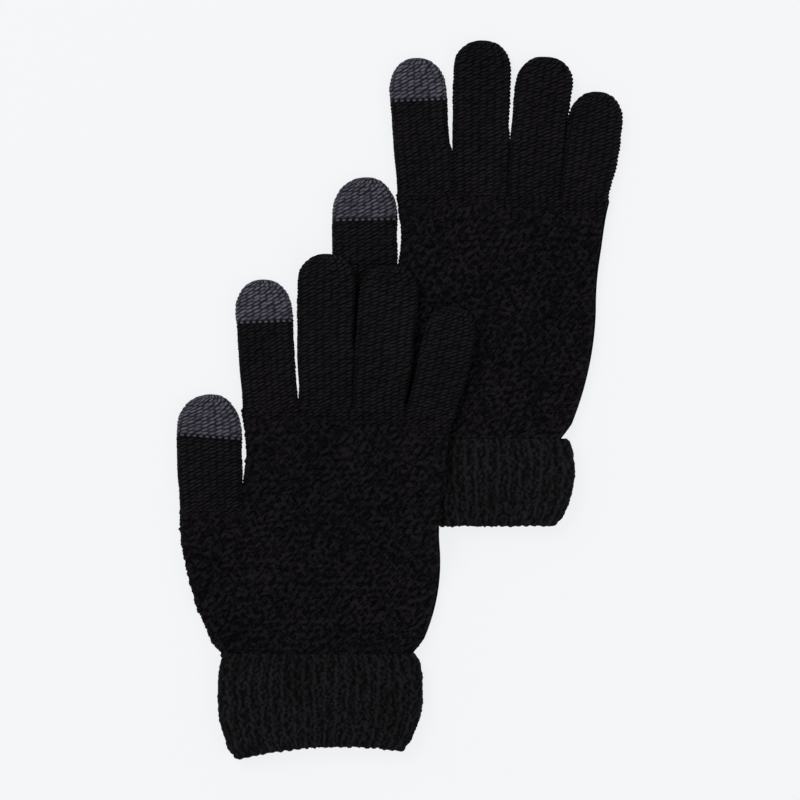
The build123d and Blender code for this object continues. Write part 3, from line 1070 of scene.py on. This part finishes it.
def rib_stitches(cuff, run, columns):
    around = 4 * cuff.half.max()
    ribs = 2 * round(around / RIB / 2)
    c = np.arange(columns)[None] / columns * ribs * RIB + 0 * run[:, None]
    along = run[:, None] + 0 * c
    relief, painted_shading = rib_knit(c, along)
    return relief + wobble(c, along), painted_shading, np.stack([c, along], -1)


def build_cuff_outer(cuff):
    v, half, thick, run = cuff_profile(cuff)
    columns = 2 * round(2 * cuff.half.max() / CELL)
    base, z = cuff.rings(v, half, thick, columns)
    relief, painted_shading, weave = rib_stitches(cuff, run, columns)
    fade = smooth((run[:, None] + 0.4 * MM) / (1.5 * MM)) * smooth((run[-1] - run[:, None]) / (2 * MM))
    shrink = np.where(z < 0, UNDERSIDE, 1.0) * fade
    outer = base + grid_normals(base[::-1])[::-1] * (relief * shrink)[..., None]
    picked = skin_rows(0, len(v), 3)
    inside = base - grid_normals(base[::-1])[::-1] * CUFF_WALL
    cloth = Cloth()
    out = cloth.add(outer, painted_shading, weave, (0, 0, 1, 0.9), closed=True, flip=True)
    skin = cloth.add(inside[picked], 0.4, weave[picked], (0, 0.91, 1, 1), closed=True)
    cloth.rim(out, skin, columns, True, True)
    cloth.rim(out + (len(v) - 1) * columns, skin + (len(picked) - 1) * columns, columns, True, False)
    piece = cloth.build(f"{cuff.outer}_knit")
    finish_piece(piece, cuff.outer)
    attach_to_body(piece, cuff.glove.body)


def build_cuff_inner(cuff):
    """The layer beneath, which shows only through the mouth. Its ribs face inwards."""
    v = np.linspace(0.6 * MM, cuff.length - INNER_START, int(cuff.length / (2 * CELL)))
    room = CUFF_LAYERS - CUFF_WALL
    columns = 2 * round(cuff.half.max() / CELL)
    half, thick = cuff.half_width(v), cuff.half_thick(v)
    thick = np.maximum(thick, CUFF_HALF_THICK - CUFF_SWELL)
    face, _ = cuff.rings(v, half - room, thick - room, columns)
    lining, _ = cuff.rings(v, half - CUFF_LAYERS, thick - CUFF_LAYERS, columns)
    relief, painted_shading, weave = rib_stitches(cuff, v, columns)
    lining = lining - grid_normals(lining[::-1])[::-1] * (0.5 * relief)[..., None]
    cloth = Cloth()
    out = cloth.add(face, 0.4, weave, (0, 0, 1, 0.45), closed=True, flip=True)
    skin = cloth.add(lining, painted_shading, weave, (0, 0.5, 1, 1), closed=True)
    cloth.rim(out, skin, columns, True, True)
    cloth.rim(out + (len(v) - 1) * columns, skin + (len(v) - 1) * columns, columns, True, False)
    piece = cloth.build(f"{cuff.inner}_knit")
    finish_piece(piece, cuff.inner)
    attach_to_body(piece, cuff.glove.body)


def build_elastic(cuff):
    """Threads laid in rounds between the two layers."""
    columns, sides = 120, 8
    cloth = Cloth()
    pitch = (cuff.length - 2 * CUFF_FOLD - CUFF_LIP) / ELASTIC_ROUNDS
    angle = np.linspace(0, 2 * np.pi, sides, endpoint=False)
    for i in range(ELASTIC_ROUNDS):
        v = CUFF_LIP + pitch * (i + 0.5) + ELASTIC_RADIUS * np.sin(angle)
        out = ELASTIC_INSET - ELASTIC_RADIUS * np.cos(angle)
        middle = np.full(sides, CUFF_LIP + pitch * (i + 0.5))
        tube, _ = cuff.rings(v, cuff.half_width(middle) - out, cuff.half_thick(middle) - out, columns)
        tube = np.concatenate([tube, tube[:1]])
        shade = 0.5 + 0.5 * np.cos(np.arange(columns) / 2.0)[None]
        spread = (0, i / ELASTIC_ROUNDS, 1, (i + 0.9) / ELASTIC_ROUNDS)
        along, across = np.arange(columns)[None] * MM, np.arange(sides + 1)[:, None] * MM
        weave = np.stack(np.broadcast_arrays(along, across), -1)
        cloth.add(tube, shade, weave, spread, closed=True)
    piece = cloth.build(f"{cuff.elastic}_thread")
    finish_piece(piece, cuff.elastic)
    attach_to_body(piece, cuff.glove.body)


def build_glove(name):
    glove = Glove(name)
    build_hand(glove)
    for stall in glove.stalls:
        build_stall(glove, stall)
    cuff = Cuff(glove)
    build_cuff_outer(cuff)
    build_cuff_inner(cuff)
    build_elastic(cuff)


# ---------------- the studio


VIEW_CENTRE = (0.6 * MM, -0.9 * MM)
VIEW_WIDTH = 352 * MM
LENS = 180.0
SENSOR = 36.0
FLOOR_SIZE = 6.0


def floor():
    mesh = bpy.data.meshes.new("floor")
    h = FLOOR_SIZE / 2
    mesh.from_pydata([(-h, -h, 0), (h, -h, 0), (h, h, 0), (-h, h, 0)], [], [(0, 1, 2, 3)])
    slab = bpy.data.objects.new("floor", mesh)
    bpy.context.scene.collection.objects.link(slab)
    s = Shader("pale_floor")
    s.surface.inputs["Base Color"].default_value = (0.16, 0.16, 0.16, 1)
    s.surface.inputs["Roughness"].default_value = 0.9
    s.surface.inputs["Specular IOR Level"].default_value = 0.1
    s.surface.inputs["Emission Color"].default_value = (0.970, 0.989, 1.0, 1)
    s.surface.inputs["Emission Strength"].default_value = 0.82
    mesh.materials.append(s.material)


def soft_box(name, place, size, power):
    light = bpy.data.lights.new(name, "AREA")
    light.shape, light.size, light.energy = "SQUARE", size, power
    lamp = bpy.data.objects.new(name, light)
    lamp.location = place
    lamp.rotation_euler = Vector(place).to_track_quat("Z", "Y").to_euler()
    bpy.context.scene.collection.objects.link(lamp)


def lights():
    world = bpy.data.worlds.new("studio")
    world.use_nodes = True
    world.node_tree.nodes["Background"].inputs["Color"].default_value = (0.98, 0.99, 1.0, 1)
    world.node_tree.nodes["Background"].inputs["Strength"].default_value = 0.45
    bpy.context.scene.world = world
    soft_box("key", (-0.9, 0.9, 1.5), 0.9, 9.0)
    soft_box("fill", (1.2, -0.6, 1.4), 1.2, 4.0)


def camera():
    view = bpy.data.cameras.new("camera")
    view.lens, view.sensor_width = LENS, SENSOR
    cam = bpy.data.objects.new("camera", view)
    cam.location = (*VIEW_CENTRE, VIEW_WIDTH * LENS / SENSOR)
    bpy.context.scene.collection.objects.link(cam)
    bpy.context.scene.camera = cam


for glove_name in ("under", "top"):
    build_glove(glove_name)
floor()
lights()
camera()
bpy.context.scene.view_settings.view_transform = "Standard"
